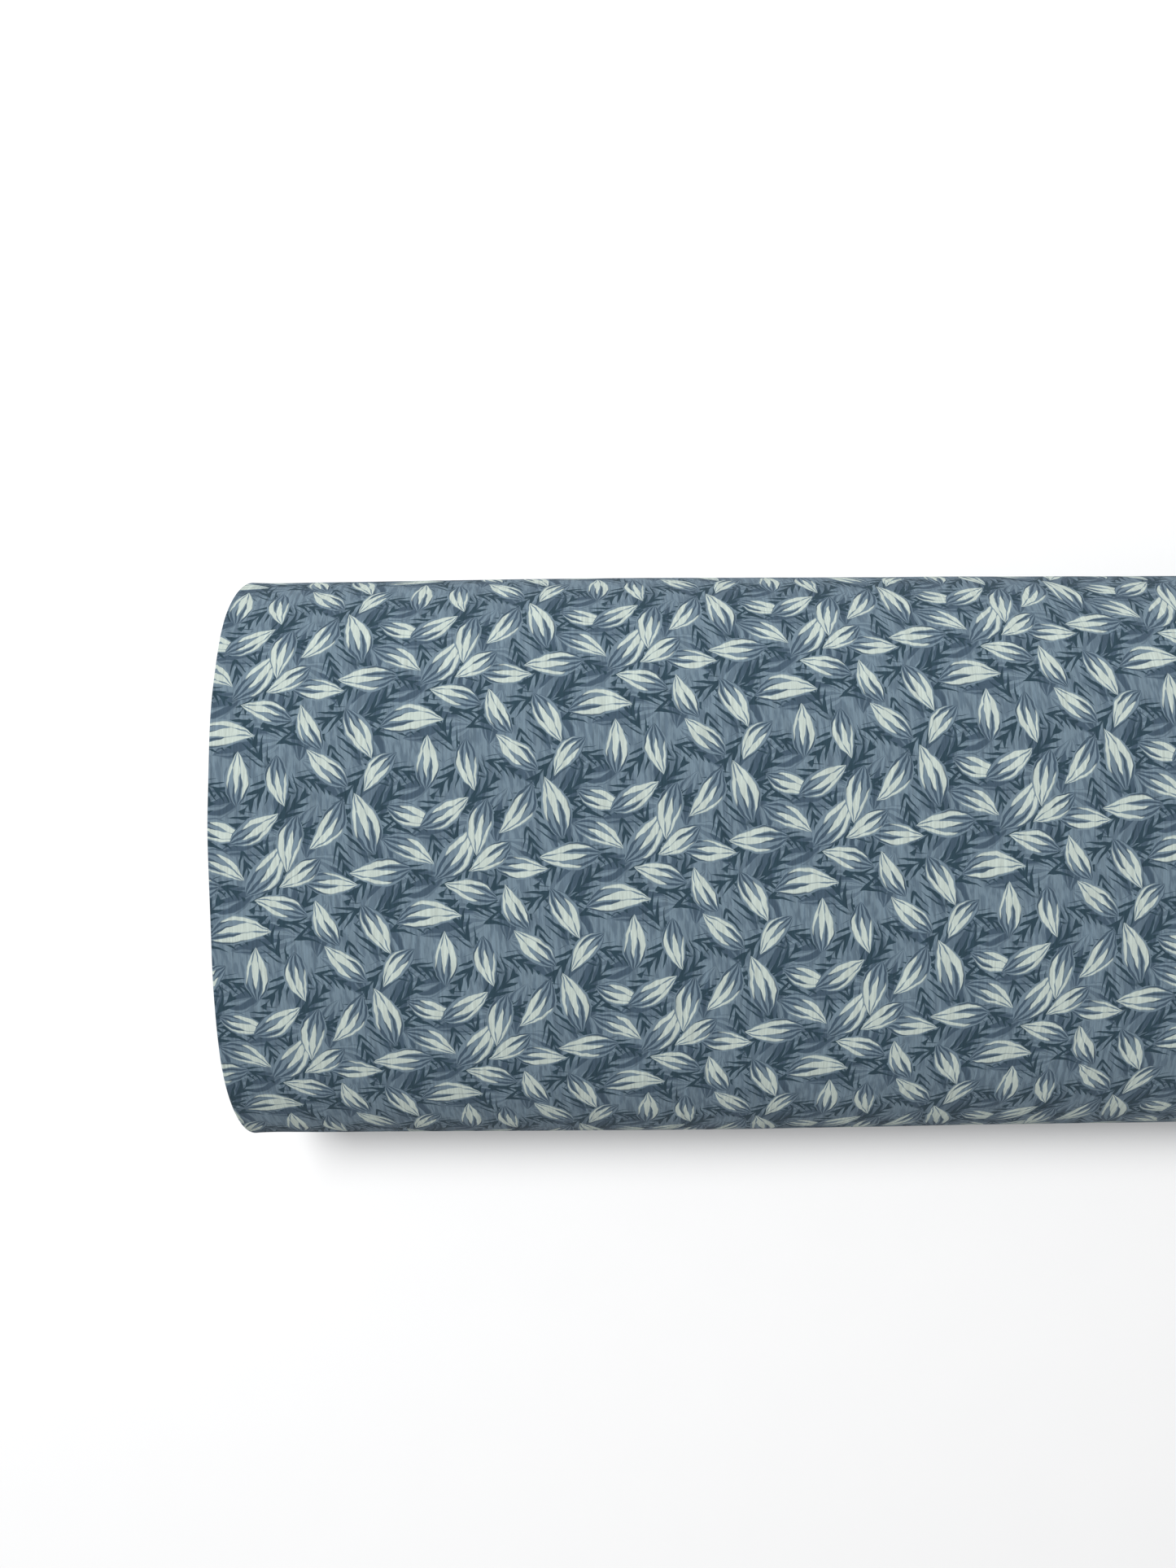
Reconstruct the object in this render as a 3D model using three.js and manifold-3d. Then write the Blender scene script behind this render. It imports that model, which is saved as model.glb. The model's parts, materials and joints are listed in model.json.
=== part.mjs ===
// Fabric bolt: printed cloth folded in half along its length and wound on a flat cardboard board.
// Millimetres. X runs along the bolt, from the cloth's folded edge (-X) to its selvedges (+X),
// Y runs across the bolt and Z points up. The bolt lies flat, and the origin is the middle of its underside.
import * as THREE from "three";
import { mergeVertices } from "three/addons/utils/BufferGeometryUtils.js";
import Module from "manifold-3d";

const wasm = await Module();
wasm.setup();

// ---- Cloth, wound into a pillow-shaped pack
const clothWidth = 1120; // selvedge to selvedge, before it is folded in half
const packHalfWidth = 120.5; // board's middle to the side of the pack
const crownHeight = 58; // board's middle plane up to the crown
const bellyDepth = 52; // board's middle plane down to the belly, before the table flattens it
const flattening = 2; // how much of the belly the table takes away
const sideFullness = 2.9; // 2 makes the pack's section an ellipse, and more makes its sides squarer
const packSteps = 92; // straight steps round the pack's section
const underTailSteps = 8; // and from the table up to the tail's edge

// ---- Tail: the last stretch of the last turn, which lifts off when the cloth is to be unrolled
const tailThickness = 1.2; // doubled cloth with its cut end turned under
const tailHingeHeight = 8; // where the tail starts to lift, above the board's middle plane
const tailEdgeDepth = 36; // the tail's edge, below the board's middle plane
const tailSteps = 16;
const rolledEdgeSteps = 6; // straight steps round the tail's rolled top edge

// ---- Board: a kraft sleeve round a core of double-wall corrugated board
const boardWidth = 190;
const boardThickness = 16;
const sleeveWall = 0.9;
const sleeveCorner = 2;
const cornerSteps = 4;
const sleeveLap = 30; // where the sleeve's two edges are glued over each other
const boardInset = 3; // the board stops this far inside the folded edge
const boardProud = 9; // and stands this far out of the selvedges
const coreInset = 4; // the core stops this far inside the sleeve's label end
const linerThickness = 0.6;
const fluteSheet = 0.5;
const flutePitch = 8.6;
const fluteSteps = 7; // straight steps in one wave

// ---- Tape that holds the first edge of the cloth on the board
const tapeWidth = 48;
const tapeLength = 500;
const tapeThickness = 0.3;

// ---- Label: a folded card whose leg is tucked into the board's end
const labelThickness = 0.6;
const labelWidth = 184;
const labelLeg = 45;

// ---- Pins that hold the tail
const pinCount = 3;
const pinPitch = 185;
const pinLength = 34; // tip to the middle of the head
const pinRadius = 0.35;
const pinPoint = 5; // length of the taper at the tip
const pinHeadRadius = 2;
const pinSocket = 1.5; // how deep the shank sits in its head
const pinBelowPlane = 25; // the pins lie this far below the board's middle plane
const nipReach = 10; // tip to the middle of the nip of cloth that the pin goes through
const nipLength = 15;
const nipWidth = 9;
const nipHeight = 2.7;

// ---- How finely round things are divided
const ballSides = 20;
const ballRings = 14;
const rodSides = 12;

// ---- Clearances
const gap = 0.3; // between pieces that touch
const loose = 0.5; // round the board, inside the cloth
const swing = 0.4; // round the tail's rolled top edge

// ---- Places that follow from the sizes above
const foldedWidth = clothWidth / 2;
const overallLength = foldedWidth + boardProud + gap + labelThickness;
const foldX = -overallLength / 2;
const selvedgeX = foldX + foldedWidth;
const boardStartX = foldX + boardInset;
const boardEndX = selvedgeX + boardProud;
const boardLength = boardEndX - boardStartX;
const planeHeight = bellyDepth - flattening; // the board's middle plane above the table

const coreTop = boardThickness / 2 - sleeveWall - gap - labelThickness - gap;
const coreBottom = -boardThickness / 2 + 2 * sleeveWall + gap;
const coreWidth = boardWidth - 2 * sleeveWall - 2 * gap;
const fluteHeight = (coreTop - coreBottom - 3 * linerThickness - 4 * gap) / 2;
const coreLength = boardLength - coreInset;

const colours = {
  printedCloth: { color: 0x70869f, roughness: 0.92, metalness: 0 },
  kraft: { color: 0xb08a5e, roughness: 0.85, metalness: 0 },
  liner: { color: 0xa98258, roughness: 0.88, metalness: 0 },
  flute: { color: 0x9c774f, roughness: 0.9, metalness: 0 },
  tape: { color: 0xc9a873, roughness: 0.6, metalness: 0 },
  card: { color: 0xf1efe8, roughness: 0.65, metalness: 0 },
  pinSteel: { color: 0xc9ccd0, roughness: 0.25, metalness: 1 },
  pinHead: { color: 0xe9e6da, roughness: 0.2, metalness: 0 },
};

const bolt = new THREE.Group();

function addMesh(parent, name, geometry, colour, position = [0, 0, 0]) {
  const mesh = new THREE.Mesh(geometry, new THREE.MeshStandardMaterial(colours[colour]));
  mesh.name = name;
  mesh.position.set(...position);
  parent.add(mesh);
  return mesh;
}

// ---- Solids

// A section drawn in Y and Z, run along X from 0 to its length.
function alongX(shape, length) {
  const turn = new THREE.Matrix4().makeBasis(
    new THREE.Vector3(0, 1, 0),
    new THREE.Vector3(0, 0, 1),
    new THREE.Vector3(1, 0, 0),
  );
  return new THREE.ExtrudeGeometry(shape, { depth: length, bevelEnabled: false }).applyMatrix4(turn);
}

// A section drawn in X and Z, run along Y to either side of the middle.
function alongY(shape, length) {
  const turn = new THREE.Matrix4().makeBasis(
    new THREE.Vector3(1, 0, 0),
    new THREE.Vector3(0, 0, 1),
    new THREE.Vector3(0, -1, 0),
  );
  const solid = new THREE.ExtrudeGeometry(shape, { depth: length, bevelEnabled: false });
  return solid.translate(0, 0, -length / 2).applyMatrix4(turn);
}

function toSolid(geometry) {
  const bare = geometry.index ? geometry.toNonIndexed() : geometry.clone();
  bare.deleteAttribute("normal");
  bare.deleteAttribute("uv");
  const merged = mergeVertices(bare, 1e-4);
  return new wasm.Manifold(
    new wasm.Mesh({
      numProp: 3,
      vertProperties: new Float32Array(merged.attributes.position.array),
      triVerts: new Uint32Array(merged.index.array),
    }),
  );
}

function toGeometry(solid) {
  const mesh = solid.getMesh();
  return new THREE.BufferGeometry()
    .setAttribute("position", new THREE.BufferAttribute(mesh.vertProperties, 3))
    .setIndex(new THREE.BufferAttribute(mesh.triVerts, 1));
}

// ---- The pack's outer line

// A point on the outer line, in Y and Z from the board's middle. Angle 0 is the +Y side and PI/2 the crown.
function outerPoint(angle) {
  const height = Math.sin(angle) > 0 ? crownHeight : bellyDepth;
  const across = Math.sign(Math.cos(angle)) * Math.abs(Math.cos(angle)) ** (2 / sideFullness);
  return new THREE.Vector2(packHalfWidth * across, height * Math.sin(angle));
}

// The same point moved into the pack, at right angles to the outer line.
function packPoint(angle, depth = 0) {
  const step = 0.002;
  const along = outerPoint(angle + step).sub(outerPoint(angle - step)).normalize();
  const inwards = new THREE.Vector2(-along.y, along.x);
  return outerPoint(angle).addScaledVector(inwards, depth);
}

// Points from one angle to another, at a depth that may change on the way.
function packLine(from, to, steps, depthFrom, depthTo = depthFrom) {
  const share = (i) => i / steps;
  return Array.from({ length: steps + 1 }, (_, i) =>
    packPoint(
      THREE.MathUtils.lerp(from, to, share(i)),
      THREE.MathUtils.lerp(depthFrom, depthTo, share(i)),
    ),
  );
}

const hingeAngle = Math.asin(tailHingeHeight / crownHeight);
const tailEdgeAngle = -Math.asin(tailEdgeDepth / bellyDepth);
const tableAngle = -Math.asin(planeHeight / bellyDepth);
const tailRecess = tailThickness + gap;

// ---- Cloth

function slotHole() {
  const halfWidth = boardWidth / 2 + loose;
  const halfHeight = boardThickness / 2 + loose;
  const halfTape = tapeWidth / 2 + loose;
  const tapeTop = halfHeight + tapeThickness + gap;
  return new THREE.Path([
    new THREE.Vector2(-halfWidth, -halfHeight),
    new THREE.Vector2(halfWidth, -halfHeight),
    new THREE.Vector2(halfWidth, halfHeight),
    new THREE.Vector2(halfTape, halfHeight),
    new THREE.Vector2(halfTape, tapeTop),
    new THREE.Vector2(-halfTape, tapeTop),
    new THREE.Vector2(-halfTape, halfHeight),
    new THREE.Vector2(-halfWidth, halfHeight),
  ]);
}

function fabricRoll() {
  const clearance = tailThickness / 2 + swing;
  const stepAngle = hingeAngle + clearance / crownHeight;
  const bottomAngle = 2 * Math.PI + tableAngle;
  const edgeAngle = 2 * Math.PI + tailEdgeAngle;
  const line = [
    ...packLine(stepAngle, bottomAngle, packSteps, 0),
    ...packLine(bottomAngle, edgeAngle, underTailSteps, 0, tailRecess).slice(1),
    ...packLine(edgeAngle, 2 * Math.PI + stepAngle, tailSteps, tailRecess).slice(1),
  ];
  for (const point of line) {
    point.y = Math.max(point.y, -planeHeight);
  }
  const section = new THREE.Shape(line);
  section.holes.push(slotHole());
  addMesh(bolt, "fabric_roll", alongX(section, foldedWidth), "printedCloth", [foldX, 0, planeHeight]);
}

// The tail's section between two depths, with its top edge rolled round the line it hinges on.
function tailSection(outerDepth, innerDepth, rolled) {
  const outer = packLine(hingeAngle, tailEdgeAngle, tailSteps, outerDepth);
  const inner = packLine(tailEdgeAngle, hingeAngle, tailSteps, innerDepth);
  const line = [...outer, ...inner];
  if (rolled) {
    const pivot = packPoint(hingeAngle, (outerDepth + innerDepth) / 2);
    const start = inner.at(-1).clone().sub(pivot);
    for (let i = 1; i < rolledEdgeSteps; i += 1) {
      const turn = (-Math.PI * i) / rolledEdgeSteps;
      line.push(start.clone().rotateAround(new THREE.Vector2(), turn).add(pivot));
    }
  }
  return new THREE.Shape(line.reverse());
}

// A pin's frame: origin at its tip, local Y from the tip to the head, local Z away from the cloth.
function pinFrame(index) {
  const angle = -Math.asin(pinBelowPlane / bellyDepth);
  const surface = packPoint(angle);
  const out2d = surface.clone().sub(packPoint(angle, 1));
  const out = new THREE.Vector3(0, out2d.x, out2d.y);
  const tipLift = pinRadius + gap;
  const headLift = pinHeadRadius + gap;
  const slope = Math.asin((headLift - tipLift) / pinLength);
  const along = new THREE.Vector3(Math.cos(slope), 0, 0).addScaledVector(out, Math.sin(slope));
  const up = new THREE.Vector3().crossVectors(along, new THREE.Vector3(1, 0, 0).cross(out)).normalize();
  const side = new THREE.Vector3().crossVectors(along, up);
  const middle = foldX + foldedWidth / 2;
  const x = middle + (index - (pinCount - 1) / 2) * pinPitch - pinLength / 2;
  const tip = new THREE.Vector3(x, surface.x, surface.y + planeHeight).addScaledVector(out, tipLift);
  return new THREE.Matrix4().makeBasis(side, along, up).setPosition(tip);
}

// A tuck of cloth that stands up where a pin goes in and out again.
function pinNip(frame) {
  const ball = new THREE.SphereGeometry(1, ballSides, ballRings);
  const tuck = ball.scale(nipWidth / 2, nipLength / 2, nipHeight);
  return toSolid(tuck.translate(0, nipReach, -pinRadius - gap).applyMatrix4(frame));
}

function pinChannel(frame) {
  const radius = pinRadius + gap;
  const bore = new THREE.CylinderGeometry(radius, radius, 2 * pinLength, rodSides);
  return toSolid(bore.translate(0, nipReach, 0).applyMatrix4(frame));
}

function fabricTail() {
  const place = new THREE.Matrix4().makeTranslation(foldX, 0, planeHeight);
  const outside = alongX(tailSection(-3 * nipHeight, tailThickness / 2, false), foldedWidth);
  const keepOut = toSolid(outside.applyMatrix4(place));
  const flap = alongX(tailSection(0, tailThickness, true), foldedWidth).applyMatrix4(place);
  let tail = toSolid(flap);
  for (let i = 0; i < pinCount; i += 1) {
    const frame = pinFrame(i);
    tail = tail.add(pinNip(frame).intersect(keepOut)).subtract(pinChannel(frame));
  }
  addMesh(bolt, "fabric_tail", toGeometry(tail), "printedCloth");
}

// ---- Board

function roundedRectangle(width, height, corner) {
  const shape = new THREE.Shape();
  const x = width / 2 - corner;
  const y = height / 2 - corner;
  shape.absarc(x, y, corner, 0, Math.PI / 2);
  shape.absarc(-x, y, corner, Math.PI / 2, Math.PI);
  shape.absarc(-x, -y, corner, Math.PI, 1.5 * Math.PI);
  shape.absarc(x, -y, corner, 1.5 * Math.PI, 2 * Math.PI);
  return new THREE.Shape(shape.getPoints(cornerSteps));
}

function boardSleeve() {
  const section = roundedRectangle(boardWidth, boardThickness, sleeveCorner);
  const halfWidth = boardWidth / 2 - sleeveWall;
  const halfHeight = boardThickness / 2 - sleeveWall;
  const lapTop = -halfHeight + sleeveWall;
  section.holes.push(
    new THREE.Path([
      new THREE.Vector2(-halfWidth, halfHeight),
      new THREE.Vector2(-halfWidth, -halfHeight),
      new THREE.Vector2(-sleeveLap / 2, -halfHeight),
      new THREE.Vector2(-sleeveLap / 2, lapTop),
      new THREE.Vector2(sleeveLap / 2, lapTop),
      new THREE.Vector2(sleeveLap / 2, -halfHeight),
      new THREE.Vector2(halfWidth, -halfHeight),
      new THREE.Vector2(halfWidth, halfHeight),
    ]),
  );
  addMesh(bolt, "board_sleeve", alongX(section, boardLength), "kraft", [boardStartX, 0, planeHeight]);
}

function coreLiner(name, bottom) {
  const sheet = new THREE.BoxGeometry(coreLength, coreWidth, linerThickness);
  const middle = planeHeight + bottom + linerThickness / 2;
  addMesh(bolt, name, sheet, "liner", [boardStartX + coreLength / 2, 0, middle]);
}

// One face of the wavy sheet, half its thickness to either side of a sine wave.
function fluteLine(side) {
  const height = (fluteHeight - fluteSheet) / 2;
  const waves = Math.floor((coreWidth - fluteSheet) / flutePitch);
  const turn = (2 * Math.PI) / flutePitch;
  const start = (-waves * flutePitch) / 2;
  return Array.from({ length: waves * fluteSteps + 1 }, (_, i) => {
    const y = start + (i * flutePitch) / fluteSteps;
    const slope = height * turn * Math.cos(turn * (y - start));
    const normal = new THREE.Vector2(-slope, 1).normalize();
    const middle = new THREE.Vector2(y, height * Math.sin(turn * (y - start)));
    return middle.addScaledVector(normal, (side * fluteSheet) / 2);
  });
}

function coreFlute(name, bottom) {
  const section = new THREE.Shape([...fluteLine(1).reverse(), ...fluteLine(-1)]);
  const middle = planeHeight + bottom + fluteHeight / 2;
  addMesh(bolt, name, alongX(section, coreLength), "flute", [boardStartX, 0, middle]);
}

// Liner, flute, liner, flute and liner, from the bottom up.
function boardCore() {
  const linerStep = linerThickness + gap;
  const fluteStep = fluteHeight + gap;
  coreLiner("core_liner_bottom", coreBottom);
  coreFlute("core_flute_lower", coreBottom + linerStep);
  coreLiner("core_liner_middle", coreBottom + linerStep + fluteStep);
  coreFlute("core_flute_upper", coreBottom + 2 * linerStep + fluteStep);
  coreLiner("core_liner_top", coreBottom + 2 * linerStep + 2 * fluteStep);
}

function startTape() {
  const tape = new THREE.BoxGeometry(tapeLength, tapeWidth, tapeThickness);
  const middle = planeHeight + boardThickness / 2 + gap + tapeThickness / 2;
  addMesh(bolt, "start_tape", tape, "tape", [foldX + foldedWidth / 2, 0, middle]);
}

// ---- Label

function endLabel() {
  const outerX = boardEndX + gap + labelThickness;
  const legStartX = boardEndX - labelLeg;
  const legTop = boardThickness / 2 - sleeveWall - gap;
  const section = new THREE.Shape([
    new THREE.Vector2(legStartX, legTop),
    new THREE.Vector2(legStartX, legTop - labelThickness),
    new THREE.Vector2(outerX - labelThickness, legTop - labelThickness),
    new THREE.Vector2(outerX - labelThickness, -boardThickness / 2),
    new THREE.Vector2(outerX, -boardThickness / 2),
    new THREE.Vector2(outerX, legTop),
  ]);
  addMesh(bolt, "end_label", alongY(section, labelWidth), "card", [0, 0, planeHeight]);
}

// ---- Pins

function pinShank() {
  const end = pinLength - pinHeadRadius + pinSocket;
  const line = [
    [0, 0],
    [pinRadius * 0.6, pinPoint * 0.4],
    [pinRadius, pinPoint],
    [pinRadius, end],
    [0, end],
  ];
  return new THREE.LatheGeometry(line.map(([r, y]) => new THREE.Vector2(r, y)), rodSides);
}

function pinHead() {
  const ball = toSolid(new THREE.SphereGeometry(pinHeadRadius, ballSides, ballRings));
  const depth = pinSocket + gap;
  const radius = pinRadius + gap;
  const bore = new THREE.CylinderGeometry(radius, radius, 2 * depth, rodSides);
  return toGeometry(ball.subtract(toSolid(bore.translate(0, -pinHeadRadius, 0))));
}

function tailPins() {
  for (let i = 0; i < pinCount; i += 1) {
    const pin = new THREE.Group();
    pin.applyMatrix4(pinFrame(i));
    bolt.add(pin);
    addMesh(pin, `pin_${i + 1}_shank`, pinShank(), "pinSteel");
    addMesh(pin, `pin_${i + 1}_head`, pinHead(), "pinHead", [0, pinLength, 0]);
  }
}

fabricRoll();
fabricTail();
boardSleeve();
boardCore();
startTape();
endLabel();
tailPins();

export default bolt;
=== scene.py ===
import json
import math
import random

import bmesh
import bpy
import numpy as np
from bpy.props import FloatProperty, FloatVectorProperty, IntProperty, PointerProperty
from mathutils import Matrix, Vector, noise


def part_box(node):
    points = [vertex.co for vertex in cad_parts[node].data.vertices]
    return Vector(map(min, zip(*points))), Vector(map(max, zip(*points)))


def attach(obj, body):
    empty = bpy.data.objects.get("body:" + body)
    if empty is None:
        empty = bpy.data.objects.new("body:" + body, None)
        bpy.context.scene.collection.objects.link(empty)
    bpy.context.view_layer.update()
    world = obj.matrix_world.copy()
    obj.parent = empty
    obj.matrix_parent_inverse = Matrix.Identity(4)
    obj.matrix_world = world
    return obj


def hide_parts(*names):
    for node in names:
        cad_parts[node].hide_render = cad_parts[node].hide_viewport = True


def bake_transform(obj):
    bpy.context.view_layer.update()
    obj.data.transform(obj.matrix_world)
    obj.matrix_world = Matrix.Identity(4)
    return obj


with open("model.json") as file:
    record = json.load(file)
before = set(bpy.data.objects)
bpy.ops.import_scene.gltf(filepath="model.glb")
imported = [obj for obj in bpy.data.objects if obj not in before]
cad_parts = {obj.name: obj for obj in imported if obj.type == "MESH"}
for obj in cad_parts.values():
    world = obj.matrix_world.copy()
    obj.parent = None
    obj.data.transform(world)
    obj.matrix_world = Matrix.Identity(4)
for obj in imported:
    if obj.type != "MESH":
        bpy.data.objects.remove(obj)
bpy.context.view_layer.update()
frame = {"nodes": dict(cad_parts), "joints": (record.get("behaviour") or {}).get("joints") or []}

bl_info = {
    "name": "Fabric bolt",
    "version": (1, 0, 0),
    "blender": (4, 5, 0),
    "location": "View3D > Sidebar > Bolt",
    "description": "Dresses the packed fabric bolt: wound printed cloth, board, label, pins and stage",
    "category": "Object",
}

ROLL_LOW, ROLL_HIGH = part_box("fabric_roll")
TAIL_LOW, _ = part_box("fabric_tail")
SLEEVE_LOW, SLEEVE_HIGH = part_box("board_sleeve")
LABEL_LOW, LABEL_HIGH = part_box("end_label")
JOINTS = {joint["name"]: joint for joint in frame["joints"]}
PIN_NUMBERS = (1, 2, 3)

FOLD_X = ROLL_LOW.x
SELVEDGE_X = ROLL_HIGH.x
PLANE_Z = (SLEEVE_LOW.z + SLEEVE_HIGH.z) / 2  # the board's middle plane
PACK_HALF = -ROLL_LOW.y
CROWN = ROLL_HIGH.z - PLANE_Z
BOARD_HALF = SLEEVE_HIGH.y
BOARD_TOP = SLEEVE_HIGH.z - PLANE_Z
TURN = 2 * math.pi
QUARTER_TURN = math.pi / 2


# ---------------------------------------------------------------- settings


def metres(name, description, default):
    """A length, as a property of a settings group."""
    return FloatProperty(name=name, description=description, default=default, unit="LENGTH", precision=5)


def colour(name, description, default):
    """A colour, as a property of a settings group."""
    return FloatVectorProperty(
        name=name, description=description, default=default, subtype="COLOR", size=3, min=0, max=1
    )


class ClothSettings(bpy.types.PropertyGroup):
    """The cloth and how it is wound"""

    thickness: metres("Cloth thickness", "One layer of the cloth", 0.00032)
    layer_step: metres("Layer step", "From one layer to the other, in the doubled cloth", 0.00036)
    turns: IntProperty(name="Whole turns", description="Under the last one and a half", default=29, min=2)
    fullness: FloatProperty(name="Side fullness", description="2 is an ellipse, more is square", default=2.9)
    core_fullness: FloatProperty(name="Core fullness", description="The same on the board", default=9.0)
    flattening: metres("Flattening", "How much of the belly the table takes away", 0.002)
    recess: metres("Tail recess", "How deep the turn under the tail lies", 0.0015)
    tape_room: metres("Tape room", "From the board to the first turn", 0.0006)
    fine_step: metres("Fine step", "Mesh step on the cloth that shows", 0.0029)
    ripple: metres("Ripple height", "Soft unevenness of the outer turn", 0.0013)
    swell: metres("Swell", "How much the bolt is fuller away from its folded end", 0.0013)
    fold_proud: metres("Fold proud", "How far the outer fold stands out at the crown", 0.0018)
    stagger: metres("Stagger", "How far folds and selvedges stray from their line", 0.0009)
    hem: metres("Hem", "How much of the cut end is turned under", 0.012)
    nip_height: metres("Nip height", "How far the cloth stands up where a pin goes through", 0.0024)
    nip_reach: metres("Nip reach", "From a pin's tip to the middle of its nip", 0.010)


class PrintSettings(bpy.types.PropertyGroup):
    """The leaf print and its colours"""

    repeat_across: metres("Repeat across", "The print's repeat across the cloth", 0.0730)
    repeat_along: metres("Repeat along", "The print's repeat along the cloth", 0.0755)
    skew: FloatProperty(name="Skew", description="Slant on the bolt", default=-0.077, subtype="ANGLE")
    leaves: IntProperty(name="Leaves", description="Pale leaves in one repeat", default=18, min=1)
    back_leaves: IntProperty(name="Back leaves", description="Dusky ones in half a repeat", default=7, min=1)
    sprigs: IntProperty(name="Sprigs", description="Dark sprigs in a quarter of a repeat", default=9, min=1)
    leaf_length: metres("Leaf length", "Stalk to tip", 0.0225)
    leaf_width: metres("Leaf width", "Widest place", 0.0102)
    sprig_length: metres("Sprig length", "Stalk to tip", 0.0215)
    sprig_width: metres("Sprig width", "Widest place", 0.0105)
    seed: IntProperty(name="Seed", description="Changes how leaves and sprigs are tossed", default=5)
    ground: colour("Ground", "Slate blue of the ground and the leaves' bodies", (0.134, 0.188, 0.231))
    ground_shade: colour("Ground shade", "Second tone of the ground", (0.091, 0.133, 0.172))
    dusk: colour("Dusk", "Leaves in the back", (0.048, 0.078, 0.110))
    night: colour("Night", "Sprigs", (0.022, 0.046, 0.064))
    mint: colour("Mint", "Pale strokes on the leaves", (0.430, 0.490, 0.450))
    selvedge: colour("Selvedge", "Unprinted edge of the cloth", (0.55, 0.58, 0.56))
    selvedge_width: metres("Selvedge width", "Unprinted edge of the cloth", 0.009)


class BoardSettings(bpy.types.PropertyGroup):
    """The corrugated board and its papers"""

    waves: IntProperty(name="Waves", description="Waves in each fluted sheet", default=21, min=1)
    wave_steps: IntProperty(name="Wave steps", description="Mesh steps in one wave", default=20, min=4)
    flute_thickness: metres("Flute thickness", "The fluted paper", 0.00035)
    kraft: colour("Kraft", "The sleeve", (0.36, 0.225, 0.115))
    core: colour("Core", "Liners and flutes", (0.33, 0.205, 0.105))
    tape: colour("Tape", "Gummed paper", (0.56, 0.40, 0.20))


class LabelSettings(bpy.types.PropertyGroup):
    """The folded card in the board's end"""

    thickness: metres("Card thickness", "The label's card", 0.0005)
    bend: metres("Bend", "Radius of the fold", 0.0012)
    card: colour("Card", "The card", (0.86, 0.85, 0.80))
    ink: colour("Ink", "Ruled lines", (0.16, 0.19, 0.23))


class PinSettings(bpy.types.PropertyGroup):
    """The ball-headed pins"""

    radius: metres("Shank radius", "The steel wire", 0.00035)
    point: metres("Point", "Length of the taper", 0.005)
    head_radius: metres("Head radius", "The glass ball", 0.002)
    sides: IntProperty(name="Sides", description="Mesh steps round a pin", default=32, min=8)
    steel: colour("Steel", "The shank", (0.62, 0.63, 0.65))
    glass: colour("Glass", "The ball", (0.83, 0.82, 0.76))


class StageSettings(bpy.types.PropertyGroup):
    """Camera, floor and light"""

    camera_from_fold: metres("Camera from fold", "Along the bolt from its folded end", 0.1384)
    camera_across: metres("Camera across", "From the bolt's middle line", 0.0329)
    camera_height: metres("Camera height", "Above the board's middle plane", 0.4121)
    camera_tilt: FloatVectorProperty(
        name="Camera tilt",
        description="Turn of the camera from straight down, as an axis times an angle",
        default=(math.radians(-0.28), math.radians(-1.04), math.radians(-0.47)),
        size=3,
        subtype="EULER",
    )
    lens: FloatProperty(name="Lens", description="Focal length in mm on a 36 mm sensor", default=21.09)
    floor: colour("Floor", "The floor", (0.80, 0.80, 0.80))
    sky: colour("Sky", "Soft light from all round", (0.98, 0.985, 1.0))
    sky_strength: FloatProperty(name="Sky strength", description="Strength of the sky", default=0.38)
    key_power: FloatProperty(name="Key power", description="Of the soft lamp", default=84, unit="POWER")


GROUPS = {
    "bolt_cloth": ClothSettings,
    "bolt_print": PrintSettings,
    "bolt_board": BoardSettings,
    "bolt_label": LabelSettings,
    "bolt_pins": PinSettings,
    "bolt_stage": StageSettings,
}


# ---------------------------------------------------------------- nodes


MIX_UNDER, MIX_OVER, MIX_RESULT = 6, 7, 2  # the Mix node's colour sockets, which share their names
NOISE_LOW, NOISE_HIGH = 0.3, 0.7  # most of a noise texture's values lie between these


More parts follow.
